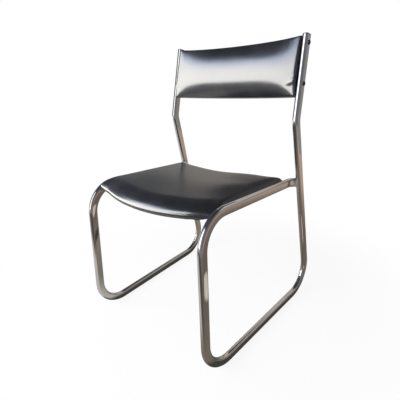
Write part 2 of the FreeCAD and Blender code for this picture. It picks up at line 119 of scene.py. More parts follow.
class BackPadSettings(bpy.types.PropertyGroup):
    """Sizes of the backrest pad, measured along the uprights."""
    half_width: LengthProperty(name="Half width", description="Middle to end, half way up", default=0.21475)
    taper: FloatProperty(name="Taper", description="Loss of half width by height", default=0.0432)
    height: LengthProperty(name="Height", description="Height at the ends", default=0.147)
    top_sag: LengthProperty(name="Top sag", description="How far the middle of the top hangs", default=0.002)
    bow: LengthProperty(name="Bow", description="How far the middle lies behind the ends", default=0.014)
    edge: LengthProperty(name="Edge", description="Thickness along the edges", default=0.018)
    front_bulge: LengthProperty(name="Front bulge", description="Stuffing proud at the front", default=0.025)
    rear_bulge: LengthProperty(name="Rear bulge", description="Stuffing proud at the rear", default=0.008)
    end_bulge: LengthProperty(name="End bulge", description="Stuffing proud at the ends", default=0.005)
    end_lap: LengthProperty(name="End lap", description="How far the ends lap the uprights", default=0.007)
    band: LengthProperty(name="End band", description="Rounding beside each upright", default=0.008)
    rim: LengthProperty(name="Rim", description="Rounding along top and bottom", default=0.003)
    overhang: LengthProperty(name="Overhang", description="Reach of the front past the ends", default=0.002)
    pucker: LengthProperty(name="Pucker", description="Height of the lower screw's fold", default=0.0028)
    pucker_x: LengthProperty(name="Pucker place", description="Middle to the fold's start", default=0.211)
    pucker_drop: LengthProperty(name="Pucker drop", description="Fold's start below middle", default=0.034)
    pucker_reach: LengthProperty(name="Pucker reach", description="How far the fold runs in", default=0.020)
    pucker_width: LengthProperty(name="Pucker width", description="Half width of the fold", default=0.0075)
    middle_y: LengthProperty(name="Middle depth", description="Depth half way up the pad", default=0.19144)
    middle_z: LengthProperty(name="Middle height", description="Middle height of the pad", default=0.713)
    lean: AngleProperty(name="Lean", description="Lean of the uprights", default=math.radians(13.34))
    columns: IntProperty(name="Columns", description="Mesh columns across", default=112, min=8)
    rows: IntProperty(name="Rows", description="Mesh rows from bottom to top", default=44, min=8)


class FinishSettings(bpy.types.PropertyGroup):
    """Colours of the finishes."""
    chrome: ColourProperty(name="Chrome", description="Plated tube", default=(0.80, 0.79, 0.78, 1.0))
    tarnish: ColourProperty(name="Tarnish", description="Dull plating", default=(0.58, 0.55, 0.51, 1.0))
    pitted: ColourProperty(name="Pitted", description="Specks by the floor", default=(0.26, 0.22, 0.18, 1.0))
    leatherette: ColourProperty(name="Leatherette", description="Pad covers",
                                default=(0.0095, 0.0105, 0.0135, 1.0))
    rubbed: ColourProperty(name="Rubbed leatherette", description="Covers where they are handled",
                           default=(0.017, 0.0175, 0.019, 1.0))
    cap: ColourProperty(name="Cap", description="Plastic plugs", default=(0.014, 0.014, 0.015, 1.0))


class StageSettings(bpy.types.PropertyGroup):
    """Camera and light."""
    eye: PlaceProperty(name="Eye", description="Place of the camera", default=(0.63519, -0.69144, 0.72076))
    aim: FloatVectorProperty(name="Aim", description="Turn of the camera", subtype="EULER",
                             default=(math.radians(64.1166), math.radians(3.5009), math.radians(40.8604)))
    lens: FloatProperty(name="Lens", description="Focal length in millimetres", default=29.19)
    shift: FloatProperty(name="Shift", description="Upward shift of the picture", default=0.0714)
    key_power: FloatProperty(name="Key power", description="Soft front light", default=150.0, unit="POWER")


class ChairSettings(bpy.types.PropertyGroup):
    """All settings of the chair."""
    tube: PointerProperty(type=TubeSettings)
    seat: PointerProperty(type=SeatPadSettings)
    back: PointerProperty(type=BackPadSettings)
    finish: PointerProperty(type=FinishSettings)
    stage: PointerProperty(type=StageSettings)


def feed(node, inputs):
    """Gives inputs, by name or number, a link from a socket or a plain value."""
    for key, value in inputs.items():
        if isinstance(value, bpy.types.NodeSocket):
            node.id_data.links.new(value, node.inputs[key])
        else:
            node.inputs[key].default_value = value


def add_node(tree, kind, inputs=None, **values):
    """A node with its properties and inputs set."""
    node = tree.nodes.new(kind)
    for key, value in values.items():
        setattr(node, key, value)
    feed(node, inputs or {})
    return node


def object_place(tree):
    """Place on the object, in metres."""
    return add_node(tree, "ShaderNodeTexCoord").outputs["Object"]


def noise(place, scale, **inputs):
    """Cloudy pattern around 0.5."""
    node = add_node(place.id_data, "ShaderNodeTexNoise", {"Vector": place, "Scale": scale, **inputs})
    return node.outputs["Fac"]


def ramp_node(source, low, high):
    """Share from 0 at low to 1 at high."""
    inputs = {"Value": source, "From Min": low, "From Max": high}
    node = add_node(source.id_data, "ShaderNodeMapRange", inputs, interpolation_type="SMOOTHSTEP")
    return node.outputs["Result"]


def math_node(operation, first, second):
    """Arithmetic on two values, at least one of them a socket."""
    socket = first if isinstance(first, bpy.types.NodeSocket) else second
    node = add_node(socket.id_data, "ShaderNodeMath", {0: first, 1: second}, operation=operation)
    return node.outputs["Value"]


times = partial(math_node, "MULTIPLY")
plus = partial(math_node, "ADD")
minus = partial(math_node, "SUBTRACT")


def colour_mix(share, first, second):
    """Colour that goes from first to second with share."""
    node = add_node(share.id_data, "ShaderNodeMix", {"Factor": share}, data_type="RGBA")
    colours = [number for number, socket in enumerate(node.inputs) if socket.type == "RGBA"]
    feed(node, dict(zip(colours, (first, second))))
    return next(s for s in node.outputs if s.type == "RGBA")


def group_tree(name, inputs, outputs):
    """Empty shader group with number inputs and outputs."""
    tree = bpy.data.node_groups.new(name, "ShaderNodeTree")
    for key, value in inputs.items():
        tree.interface.new_socket(key, in_out="INPUT", socket_type="NodeSocketFloat").default_value = value
    for key in outputs:
        tree.interface.new_socket(key, in_out="OUTPUT", socket_type="NodeSocketFloat")
    return tree, add_node(tree, "NodeGroupInput"), add_node(tree, "NodeGroupOutput")


def pebble_grain():
    """Pebbled surface grain: height of the cells and mask of the furrows between them."""
    tree, given, result = group_tree("pebble_grain", {"Cells per metre": 700.0}, ("Height", "Furrows"))
    inputs = {"Vector": object_place(tree), "Scale": given.outputs["Cells per metre"], "Randomness": 0.9}
    cells = add_node(tree, "ShaderNodeTexVoronoi", inputs, feature="F1")
    edges = add_node(tree, "ShaderNodeTexVoronoi", inputs, feature="DISTANCE_TO_EDGE")
    feed(result, {"Height": ramp_node(edges.outputs["Distance"], 0.0, 0.35),
                  "Furrows": ramp_node(cells.outputs["Distance"], 0.35, 0.75)})
    return tree


def handling_wear():
    """Uneven polish: a roughness between two limits and the mask it follows."""
    given_values = {"Patches per metre": 12.0, "Polished": 0.1, "Dull": 0.3}
    tree, given, result = group_tree("handling_wear", given_values, ("Roughness", "Mask"))
    broad = noise(object_place(tree), given.outputs["Patches per metre"], Detail=5.0, Roughness=0.62)
    mask = ramp_node(broad, 0.38, 0.68)
    span = add_node(tree, "ShaderNodeMapRange", {"Value": mask, "To Min": given.outputs["Polished"],
                                                 "To Max": given.outputs["Dull"]})
    feed(result, {"Roughness": span.outputs["Result"], "Mask": mask})
    return tree


def placed_group(tree, name, maker, inputs):
    """The named group in a material, built the first time it is asked for."""
    group = bpy.data.node_groups.get(name) or maker()
    return add_node(tree, "ShaderNodeGroup", inputs, node_tree=group).outputs


def grain(tree, cells):
    return placed_group(tree, "pebble_grain", pebble_grain, {"Cells per metre": cells})


def wear(tree, patches, polished=0.1, dull=0.3):
    return placed_group(tree, "handling_wear", handling_wear,
                        {"Patches per metre": patches, "Polished": polished, "Dull": dull})


def new_finish(name, **constants):
    """Material with its tree and shader; constants go on the shader's own sockets."""
    material = bpy.data.materials.new(name)
    material.use_nodes = True
    tree = material.node_tree
    shader = tree.nodes["Principled BSDF"]
    feed(shader, {key.replace("_", " "): value for key, value in constants.items()})
    return material, tree, shader


def bump(shader, height, strength, distance):
    node = add_node(height.id_data, "ShaderNodeBump", {"Height": height, "Strength": strength,
                                                       "Distance": distance})
    feed(shader, {"Normal": node.outputs["Normal"]})


def chromed_tube(finish):
    """Plated tube: a clear mirror with a faint film, a slight waviness and dull specks near the floor."""
    material, tree, shader = new_finish("bright_chrome", Metallic=1.0)
    place = object_place(tree)
    film = times(wear(tree, 9.0)["Mask"], 0.35)
    plating = colour_mix(film, finish.chrome, finish.tarnish)
    specks = noise(place, 420.0, Detail=2.0)
    parts = add_node(tree, "ShaderNodeSeparateXYZ", {"Vector": place})
    low = ramp_node(parts.outputs["Z"], 0.20, 0.0)
    pits = times(ramp_node(specks, 0.62, 0.74), low)
    feed(shader, {"Base Color": colour_mix(pits, plating, finish.pitted), "Roughness": times(pits, 0.3)})
    bump(shader, noise(place, 26.0, Detail=1.0), 0.03, 0.0012)
    return material


def black_leatherette(finish):
    """Satin coated cloth with a fine pebble grain and rubbed patches."""
    material, tree, shader = new_finish("satin_leatherette", Specular_IOR_Level=1.0, Coat_Weight=0.6,
                                        Coat_Roughness=0.30)
    cells = grain(tree, 620.0)
    rubbed = wear(tree, 16.0, 0.16, 0.20)
    furrows = times(cells["Furrows"], 0.04)
    feed(shader, {"Base Color": colour_mix(rubbed["Mask"], finish.leatherette, finish.rubbed),
                  "Roughness": plus(rubbed["Roughness"], furrows)})
    creases = noise(object_place(tree), 140.0, Detail=4.0, Roughness=0.6)
    bump(shader, plus(times(cells["Height"], 0.35), creases), 0.20, 0.0003)
    return material


def black_plastic(finish):
    material, tree, shader = new_finish("moulded_plastic")
    dull = wear(tree, 60.0, 0.38, 0.55)
    worn = (0.05, 0.05, 0.05, 1.0)
    feed(shader, {"Base Color": colour_mix(times(dull["Mask"], 0.5), finish.cap, worn),
                  "Roughness": dull["Roughness"]})
    bump(shader, grain(tree, 1500.0)["Height"], 0.15, 0.0002)
    return material


def plated_steel(name, bright, dark, metallic):
    """Small turned or pressed steel parts with a mottled plating."""
    material, tree, shader = new_finish(name, Metallic=metallic)
    patches = wear(tree, 180.0, 0.26, 0.48)
    feed(shader, {"Base Color": colour_mix(patches["Mask"], bright, dark),
                  "Roughness": patches["Roughness"]})
    return material


def moulded_plywood():
    """Raw veneer with long grain across the chair."""
    material, tree, shader = new_finish("moulded_plywood")
    stretch = add_node(tree, "ShaderNodeMapping", {"Vector": object_place(tree), "Scale": (3.0, 60.0, 60.0)})
    lines = noise(stretch.outputs["Vector"], 6.0, Detail=8.0, Distortion=0.6)
    veneer = colour_mix(ramp_node(lines, 0.3, 0.7), (0.55, 0.37, 0.20, 1.0), (0.33, 0.19, 0.09, 1.0))
    feed(shader, {"Base Color": veneer, "Roughness": wear(tree, 30.0, 0.55, 0.75)["Roughness"]})
    bump(shader, lines, 0.2, 0.0004)
    return material


def seat_foam_finish():
    """Open-celled upholstery foam, with painted shade in the furrows between its cells."""
    material, tree, shader = new_finish("upholstery_foam", Roughness=0.95)
    cells = grain(tree, 900.0)
    pale, deep = (0.72, 0.62, 0.38, 1.0), (0.42, 0.34, 0.17, 1.0)
    # The darker colour in the furrows between the cells is painted shade in the pores.
    feed(shader, {"Base Color": colour_mix(cells["Furrows"], pale, deep)})
    bump(shader, cells["Height"], 0.5, 0.0006)
    return material


def dust_cloth_finish():
    """Thin bonded cloth with a dimpled press pattern."""
    material, tree, shader = new_finish("bonded_cloth", Sheen_Weight=0.25)
    cells = grain(tree, 480.0)
    dark, pale = (0.018, 0.018, 0.019, 1.0), (0.040, 0.040, 0.042, 1.0)
    feed(shader, {"Base Color": colour_mix(cells["Furrows"], dark, pale),
                  "Roughness": wear(tree, 40.0, 0.75, 0.95)["Roughness"]})
    bump(shader, cells["Height"], 0.4, 0.0004)
    return material


def settings():
    return bpy.context.scene.sled_chair


def wear_finish(nodes, material):
    """Gives CAD nodes their finish."""
    for name in nodes:
        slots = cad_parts[name].data.materials
        slots.clear()
        slots.append(material)


def only(piece):
    """Makes piece the one selected and active object."""
    bpy.ops.object.select_all(action="DESELECT")
    piece.select_set(True)
    bpy.context.view_layer.objects.active = piece


def new_piece(name, add, **options):
    """Adds a primitive with nothing else selected, and names it."""
    bpy.ops.object.select_all(action="DESELECT")
    add(**options)
    piece = bpy.context.object
    piece.name = name
    piece.data.name = name
    return piece


def start_edit():
    """Enters edit mode with everything selected."""
    bpy.ops.object.mode_set(mode="EDIT")
    bpy.ops.mesh.select_all(action="SELECT")


def end_edit():
    """Turns all faces outwards and leaves edit mode."""
    bpy.ops.mesh.select_all(action="SELECT")
    bpy.ops.mesh.normals_make_consistent(inside=False)
    bpy.ops.object.mode_set(mode="OBJECT")


def envelope(name, columns, rows):
    """Two facing sheets joined along their rims; x and y run from -1 to 1, z is 1 above and -1 below."""
    piece = new_piece(name, bpy.ops.mesh.primitive_grid_add, x_subdivisions=columns, y_subdivisions=rows,
                      size=2.0, location=(0, 0, 1))
    bpy.ops.object.transform_apply(location=True, rotation=True, scale=True)
    start_edit()
    bpy.ops.mesh.extrude_region_move(TRANSFORM_OT_translate={"value": (0, 0, -2)})
    end_edit()
    return piece


def read_points(mesh):
    flat = np.empty(len(mesh.vertices) * 3, np.float32)
    mesh.vertices.foreach_get("co", flat)
    return flat.reshape(-1, 3).astype(float)


def write_points(mesh, points):
    mesh.vertices.foreach_set("co", points.astype(np.float32).ravel())
    mesh.update()


def round_edge(share, flat, radius, stop=math.radians(80)):
    """Distance and fullness along a section that ends in a round edge; share runs from 0 to 1."""
    length = flat + radius * stop
    travel = np.abs(share) * length
    turn = np.clip((travel - flat) / radius, 0.0, stop)
    return np.minimum(travel, flat) + radius * np.sin(turn), np.cos(turn)


def turned(points, lean, middle):
    """Points leaned back about x and moved to middle."""
    c, s = math.cos(lean), math.sin(lean)
    y = points[:, 1] * c + points[:, 2] * s
    z = points[:, 2] * c - points[:, 1] * s
    return np.stack([points[:, 0], y + middle[0], z + middle[1]], 1)


def smooth_step(value, low, high):
    t = np.clip((value - low) / (high - low), 0.0, 1.0)
    return t * t * (3.0 - 2.0 * t)


def middle_share(seat, across):
    """1 along the middle of the seat, 0 at its sides."""
    return 1.0 - (across / seat.half_width) ** 2


def placed_on_rails(across, depth, height):
    """Points given in the plane of the rails, moved to the chair."""
    tube = settings().tube
    return turned(np.stack([across, depth, height], 1), tube.slope, tube.rail_front[1:])


def roll_start(seat, across):
    """Depth at which the underside begins to roll down."""
    reach = (seat.roll_radius + seat.thickness / 2) * math.sin(seat.roll_angle)
    return seat.front - seat.bow * middle_share(seat, across) + reach


def seat_surface(seat, across, along, lift):
    """Points of the underside: along is the travel from the rear, lift the height off the middle surface."""
    level = seat.level - seat.dish * middle_share(seat, across)
    start = roll_start(seat, across)
    turn = np.maximum(along - (seat.rear - start), 0.0) / seat.roll_radius
    arm = seat.roll_radius + lift
    depth = np.where(turn > 0, start - arm * np.sin(turn), seat.rear - along)
    return placed_on_rails(across, depth, level - seat.roll_radius + arm * np.cos(turn))


def seat_length(seat, across):
    """Travel under the seat from the rear edge to the front tip."""
    return seat.rear - roll_start(seat, across) + seat.roll_radius * seat.roll_angle


def nose_start(seat, across):
    """Depth at which the stuffed top begins to fall."""
    slow = seat.fall_radius * math.sin(seat.fall_angle)
    tight = seat.nose_radius * (math.sin(seat.nose_angle) - math.sin(seat.fall_angle))
    return seat.front - seat.bow * middle_share(seat, across) + slow + tight


def nose_surface(seat, across, along, lift):
    """Points of the stuffed top, which falls slowly and then turns tightly into the rolled front."""
    level = seat.level - seat.dish * middle_share(seat, across) + seat.thickness / 2
    start = nose_start(seat, across)
    travel = np.maximum(along - (seat.rear - start), 0.0)
    slow = np.minimum(travel / seat.fall_radius, seat.fall_angle)
    turn = slow + np.maximum(travel - seat.fall_radius * seat.fall_angle, 0.0) / seat.nose_radius
    off = lift - seat.thickness / 2
    ahead = seat.fall_radius * np.sin(slow) + seat.nose_radius * (np.sin(turn) - np.sin(slow))
    down = seat.fall_radius * (1.0 - np.cos(slow)) + seat.nose_radius * (np.cos(slow) - np.cos(turn))
    depth = np.where(travel > 0, start - ahead - off * np.sin(turn), seat.rear - along)
    return placed_on_rails(across, depth, level - down + off * np.cos(turn))


def nose_length(seat, across):
    """Travel over the stuffed top from the rear edge to the front tip."""
    return (seat.rear - nose_start(seat, across) + seat.fall_radius * seat.fall_angle
            + seat.nose_radius * (seat.nose_angle - seat.fall_angle))


def puff(piece, held, cap, loose):
    """Fills a pad by a short cloth run; held points stay, others move by up to their loose share of cap."""
    before = read_points(piece.data)
    group = piece.vertex_groups.new(name="held")
    group.add([int(i) for i in np.flatnonzero(held)], 1.0, "REPLACE")
    only(piece)
    cloth = piece.modifiers.new("puff", "CLOTH")
    cloth.settings.vertex_group_mass = group.name
    cloth.settings.use_pressure = True
    cloth.settings.uniform_pressure_force = FILL_PRESSURE
    cloth.settings.effector_weights.gravity = 0.0
    cloth.settings.quality = 6
    cloth.settings.tension_stiffness = 25.0
    cloth.settings.compression_stiffness = 25.0
    cloth.settings.bending_stiffness = 0.6
    cloth.point_cache.frame_start = 1
    cloth.point_cache.frame_end = FILL_FRAMES
    for number in range(1, FILL_FRAMES + 1):
        bpy.context.scene.frame_set(number)
    bpy.ops.object.modifier_apply(modifier=cloth.name)
    bpy.context.scene.frame_set(1)
    piece.vertex_groups.clear()
    move = read_points(piece.data) - before
    length = np.linalg.norm(move, axis=1, keepdims=True)
    share = cap * np.tanh(length / cap) / np.maximum(length, 1e-9)
    write_points(piece.data, before + move * share * loose[:, None])


def soften(piece, levels):
    """Smooth shading and a subdivision that is applied."""
    only(piece)
    if levels:
        fine = piece.modifiers.new("soften", "SUBSURF")
        fine.levels = levels
        fine.render_levels = levels
        bpy.ops.object.modifier_apply(modifier=fine.name)
    bpy.ops.object.shade_smooth()


def leatherette():
    return bpy.data.materials.get("satin_leatherette") or black_leatherette(settings().finish)


def cross_axes(way):
    """Thin and deep directions of the tube where it runs along way."""
    thin = (X_AXIS - way * X_AXIS.dot(way)).normalized()
    return thin, way.cross(thin)


def bend_places(corner, before, after, radius, steps):
    """Centre and direction of the tube at each step of a round bend."""
    angle = before.angle(after)
    side = (after - before * after.dot(before)).normalized()
    middle = corner - before * (radius * math.tan(angle / 2)) + side * radius
    places = []
    for step in range(steps + 1):
        a = angle * step / steps
        places.append((middle - side * (radius * math.cos(a)) + before * (radius * math.sin(a)),
                       before * math.cos(a) + side * math.sin(a)))
    return places


def side_places(tube):
    """Centre, thin way and deep way along one side, from the rail's rear end to the top of the upright."""
    rail_front, front_foot, rear_foot, lean_start, top = (
        Vector(v) for v in (tube.rail_front, tube.front_foot, tube.rear_foot, tube.lean_start, tube.top))
    rail = Vector((0.0, -math.cos(tube.slope), math.sin(tube.slope)))
    rear_leg = (lean_start - rear_foot).normalized()
    above = rail.cross(X_AXIS)
    joint = rear_foot + rear_leg * ((rail_front - rear_foot).dot(above) / rear_leg.dot(above))
    along = (joint.y - tube.end_reach - rail_front.y) / rail.y
    rail_end = rail_front + rail * along
    stub = (rail_end - joint).normalized()
    leg = (front_foot - rail_front).normalized()
    runner = (rear_foot - front_foot).normalized()
    upper = (top - lean_start).normalized()
    places = [(joint + stub * (tube.thin * 0.45), above.cross(stub), above)]
    for centre, way in bend_places(rail_end, stub, rail, tube.end_bend, tube.steps):
        places.append((centre, above.cross(way), above))
    for corner, before, after, radius in ((rail_front, rail, leg, tube.bend),
                                          (front_foot, leg, runner, tube.bend),
                                          (rear_foot, runner, rear_leg, tube.bend),
                                          (lean_start, rear_leg, upper, tube.kink)):
        for centre, way in bend_places(corner, before, after, radius, tube.steps):
            places.append((centre,) + cross_axes(way))
    places.append((top,) + cross_axes(upper))
    return places


def drawn_tube(name, tube):
    """Rounded flat section drawn along one side, step by step."""
    places = side_places(tube)
    piece = new_piece(name, bpy.ops.mesh.primitive_plane_add, size=1.0)
    start_edit()
    bpy.ops.transform.resize(value=(tube.thin, tube.deep, 1.0))
    bpy.ops.mesh.bevel(affect="VERTICES", offset=tube.corner, segments=9)
    centre, thin, deep = Vector(), X_AXIS, Vector((0.0, 1.0, 0.0))
    for number, (next_centre, next_thin, next_deep) in enumerate(places):
        if number:
            bpy.ops.mesh.extrude_region()
        mesh = bmesh.from_edit_mesh(piece.data)
        for vertex in mesh.verts:
            if vertex.select:
                away = vertex.co - centre
                vertex.co = next_centre + next_thin * away.dot(thin) + next_deep * away.dot(deep)
        bmesh.update_edit_mesh(piece.data)
        centre, thin, deep = next_centre, next_thin, next_deep
    end_edit()
    bpy.ops.object.shade_smooth_by_angle(angle=math.radians(40))
    return piece


def other_side(piece, name):
    """Mirror copy across the middle of the chair, with its own mesh."""
    only(piece)
    bpy.ops.object.duplicate()
    copy = bpy.context.object
    copy.name = name
    copy.data.name = name
    copy.scale.x = -1.0
    bpy.ops.object.transform_apply(location=True, rotation=True, scale=True)
    start_edit()
    end_edit()
    return copy


class CHAIR_OT_tubes(bpy.types.Operator):
    """Bent tube of each side, and chrome on the cross bars and welds"""
    bl_idname = "chair.tubes"
    bl_label = "Model Tubes"

    def execute(self, context):
        chrome = chromed_tube(settings().finish)
        wear_finish(CHROMED, chrome)
        right = drawn_tube("right_side_tube", settings().tube)
        right.data.materials.append(chrome)
        left = other_side(right, "left_side_tube")
        for piece, node in ((right, "right_side_frame"), (left, "left_side_frame")):
            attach(piece, "root")
            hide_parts(node)
        return {"FINISHED"}


class CHAIR_OT_fittings(bpy.types.Operator):
    """Finishes of plugs, screws, inserts and staples"""
    bl_idname = "chair.fittings"
    bl_label = "Finish Fittings"

    def execute(self, context):
        wear_finish(CAPS, black_plastic(settings().finish))
        wear_finish(ZINCED, plated_steel("zinc_plate", (0.62, 0.62, 0.60, 1.0), (0.44, 0.43, 0.40, 1.0), 1.0))
        wear_finish(("back_screws",), plated_steel("blackened_steel", (0.030, 0.030, 0.032, 1.0),
                                                   (0.075, 0.072, 0.070, 1.0), 0.6))
        return {"FINISHED"}


class CHAIR_OT_boards(bpy.types.Operator):
    """Plywood and foam inside the pads"""
    bl_idname = "chair.boards"
    bl_label = "Finish Boards"

    def execute(self, context):
        wear_finish(BOARDS, moulded_plywood())
        wear_finish(FOAMS, seat_foam_finish())
        return {"FINISHED"}


class CHAIR_OT_seat_pad(bpy.types.Operator):
    """Dished seat pad with a rolled front and gathered corners underneath"""
    bl_idname = "chair.seat_pad"
    bl_label = "Model Seat Pad"

    def execute(self, context):
        seat = settings().seat
        half = seat.thickness / 2
        piece = envelope("seat_pad", seat.columns, seat.rows)
        grid = read_points(piece.data) * (1.0, -1.0, 1.0)
        ahead, top = grid[:, 1], grid[:, 2] > 0
        side = half * (1.0 - 0.5 * smooth_step(ahead, 0.2, 0.8))
        distance, full = round_edge(grid[:, 0], seat.half_width - side, side)
        across = np.sign(grid[:, 0]) * distance
        total = np.where(top, nose_length(seat, across), seat_length(seat, across)) + seat.tip
        total = total - seat.right_cut * smooth_step(across, 0.165, seat.half_width)
        ends, full_ends = round_edge(ahead, total / 2 - half * 0.1, half * 1.1)
        along = total / 2 + np.sign(ahead) * ends
        corner = smooth_step(np.abs(across), 0.150, 0.203) * smooth_step(along, total - 0.085, total - 0.015)
        lap = corner * (across < 0) * top
        crown = seat.crown * (1.0 - ahead ** 2) ** 1.5 * (1.0 - (across / seat.half_width) ** 4)
        above = (half + crown - seat.slack) * (1.0 - 0.45 * corner + 0.15 * lap)
        mound = np.exp(-((across - 0.10) / 0.09) ** 2) * smooth_step(-ahead, 0.3, 0.95)
        lift = np.where(top, above + seat.rear_rise * mound, -half) * full * full_ends
        gather = smooth_step(np.abs(across), 0.10, 0.19) * smooth_step(along, total * 0.82, total)
        pleats = np.sin(across * 190.0 + 0.6) + 0.6 * np.sin(across * 347.0 + 1.3)
        lift = lift + np.where(top, 0.0, seat.pleat) * gather * pleats
        across = across + np.where(top, seat.ear, 0.0) * corner * np.sign(across)
        points = np.where(top[:, None], nose_surface(seat, across, along, lift),
                          seat_surface(seat, across, along, lift))
        write_points(piece.data, points + lap[:, None] * np.array(seat.lap))
        puff(piece, ~top | (full * full_ends < 0.75), 0.002, 1.0 - smooth_step(ahead, -0.1, 0.45))
        soften(piece, 1)
        piece.data.materials.append(leatherette())
        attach(piece, "root")
        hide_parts("seat_cover", "seat_foam")
        wear_finish(("seat_cover",), leatherette())
        return {"FINISHED"}


class CHAIR_OT_back_pad(bpy.types.Operator):
    """Stuffed backrest with flat ends, pointed corners and a pucker at the lower screw"""
    bl_idname = "chair.back_pad"
    bl_label = "Model Back Pad"

    def execute(self, context):
        back = settings().back
        piece = envelope("back_pad", back.columns, back.rows)
        grid = read_points(piece.data)
        share, rise, front = grid[:, 0], grid[:, 1], grid[:, 2] > 0
        tall, full = round_edge(rise, back.height / 2 - back.rim, back.rim)
        wide, full_ends = round_edge(share, back.half_width - back.band, back.band)
        across = np.sign(share) * wide / back.half_width
        fall = 1.0 - across ** 2
        height = np.sign(rise) * tall
        height = height - back.top_sag * fall * (height / back.height + 0.5)
        swell = 1.0 - across ** 4
        crown = 1.0 - (tall / (back.height / 2)) ** 2
        rim = back.edge / 2 - back.rim * (1.0 - full) - back.band * 0.8 * (1.0 - full_ends)
        bulge = back.end_bulge + (back.front_bulge - back.end_bulge) * swell
        front_off = rim + bulge * crown * (1.0 - 0.13 * rise) + back.end_lap * np.abs(across) ** 6
        rear_off = rim + back.rear_bulge * swell * crown
        x = across * (back.half_width - back.taper * height)
        x = x + np.where(front, back.overhang, 0.0) * across ** 7
        inward = back.pucker_x - np.abs(x)
        below = height + back.pucker_drop + 0.4 * inward
        fold = np.exp(-(inward / back.pucker_reach) ** 2 - (below / back.pucker_width) ** 2)
        front_off = front_off + back.pucker * fold * np.where(x > 0, 1.0, 0.4)
        depth = np.where(front, -front_off, rear_off) + back.bow * fall
        points = np.stack([x, depth, height], 1)
        write_points(piece.data, turned(points, back.lean, (back.middle_y, back.middle_z)))
        held = ~front | (np.abs(across) > 0.97) | (np.abs(rise) > 0.97)
        puff(piece, held, 0.004, 1.0 - np.minimum(1.5 * fold, 1.0))
        soften(piece, 1)
        piece.data.materials.append(leatherette())
        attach(piece, "root")
        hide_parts("back_cover", "back_foam")
        wear_finish(("back_cover",), leatherette())
        return {"FINISHED"}


class CHAIR_OT_dust_cloth(bpy.types.Operator):
    """Thin cloth stapled over the underside of the seat"""
    bl_idname = "chair.dust_cloth"
    bl_label = "Model Dust Cloth"

    def execute(self, context):
        seat = settings().seat
        inset = 0.020
        piece = new_piece("dust_cloth", bpy.ops.mesh.primitive_grid_add, x_subdivisions=48, y_subdivisions=44,
                          size=2.0)
        grid = read_points(piece.data)
        across = grid[:, 0] * (seat.half_width - inset)
        total = seat_length(seat, across)
        along = total / 2 + grid[:, 1] * (total / 2 - inset)
        inside = (1.0 - grid[:, 0] ** 2) * (1.0 - grid[:, 1] ** 2)
        lift = -(seat.thickness / 2 + 0.0006) - 0.0002 * inside
        write_points(piece.data, seat_surface(seat, across, along, lift))
        soften(piece, 0)
        cloth = dust_cloth_finish()
        piece.data.materials.append(cloth)
        wear_finish(("seat_dust_cloth",), cloth)
        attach(piece, "root")
        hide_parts("seat_dust_cloth")
        return {"FINISHED"}


def bare_tree(owner):
    """Empty node tree of a material or world."""
    owner.use_nodes = True
    owner.node_tree.nodes.clear()
    return owner.node_tree


def surround(piece, colour_by):
    """Makes the new object a glowing part of the room that only reflections show."""
    bpy.ops.object.transform_apply(location=True, rotation=True, scale=True)
    material = bpy.data.materials.new(piece.name)
    tree = bare_tree(material)
    parts = add_node(tree, "ShaderNodeSeparateXYZ", {"Vector": object_place(tree)})
    glow = add_node(tree, "ShaderNodeEmission", {"Color": colour_by(*parts.outputs)})
    add_node(tree, "ShaderNodeOutputMaterial", {"Surface": glow.outputs["Emission"]})
    piece.data.materials.append(material)
    piece.visible_camera = False
    piece.visible_diffuse = False
    piece.visible_shadow = False
    piece.visible_transmission = False


def between(value, low, full, stay, high):
    """Mask that rises from low to full and falls from stay to high."""
    return times(ramp_node(value, low, full), ramp_node(value, high, stay))


ROOM_RADIUS = 2.6
ROOM_HEIGHT = 4.4

# Colours of the reflected walls by direction, in degrees from the front and positive to the right.
SKIRTING = ((-180, (0.33, 0.30, 0.275)), (-150, (0.38, 0.345, 0.315)), (-132, (0.34, 0.32, 0.31)),
            (-116, (0.55, 0.54, 0.53)), (-98, (1.20, 1.20, 1.20)), (-62, (1.05, 1.05, 1.05)),
            (-45, (0.50, 0.50, 0.50)), (10, (0.28, 0.27, 0.27)), (60, (0.15, 0.14, 0.14)),
            (105, (0.20, 0.18, 0.17)), (140, (0.26, 0.25, 0.24)), (165, (0.32, 0.315, 0.305)),
            (180, (0.34, 0.31, 0.28)))
LOW_WALL = ((-180, (0.33, 0.30, 0.275)), (-150, (0.38, 0.345, 0.315)), (-137, (0.38, 0.36, 0.34)),
            (-128, (0.27, 0.27, 0.275)), (-118, (0.20, 0.21, 0.23)), (-60, (0.15, 0.165, 0.20)),
            (10, (0.24, 0.24, 0.26)), (60, (0.15, 0.15, 0.17)), (105, (0.19, 0.18, 0.17)),
            (140, (0.26, 0.25, 0.24)), (165, (0.31, 0.305, 0.295)), (180, (0.33, 0.30, 0.275)))
HIGH_WALL = ((-180, (0.20, 0.19, 0.185)), (-165, (0.08, 0.08, 0.085)), (-140, (0.065, 0.07, 0.08)),
             (-100, (0.07, 0.08, 0.10)), (-60, (0.13, 0.145, 0.19)), (0, (0.18, 0.19, 0.29)),
             (30, (0.15, 0.17, 0.27)), (70, (0.13, 0.15, 0.21)), (115, (0.15, 0.15, 0.16)),
             (155, (0.20, 0.19, 0.185)), (180, (0.20, 0.19, 0.185)))
DARK_TOP = (0.05, 0.055, 0.065, 1.0)
REAR_GLOW = (0.50, 0.47, 0.44, 1.0)
COOL_WALL = (0.30, 0.46, 0.72, 1.0)
WINDOW_LOW = (7.4, 7.3, 7.05, 1.0)
WINDOW_HIGH = (2.9, 3.4, 4.6, 1.0)
WINDOW_IN_CHROME = (1.9, 1.9, 1.9, 1.0)
WINDOW_SEEN_TWICE = (0.35, 0.35, 0.36, 1.0)
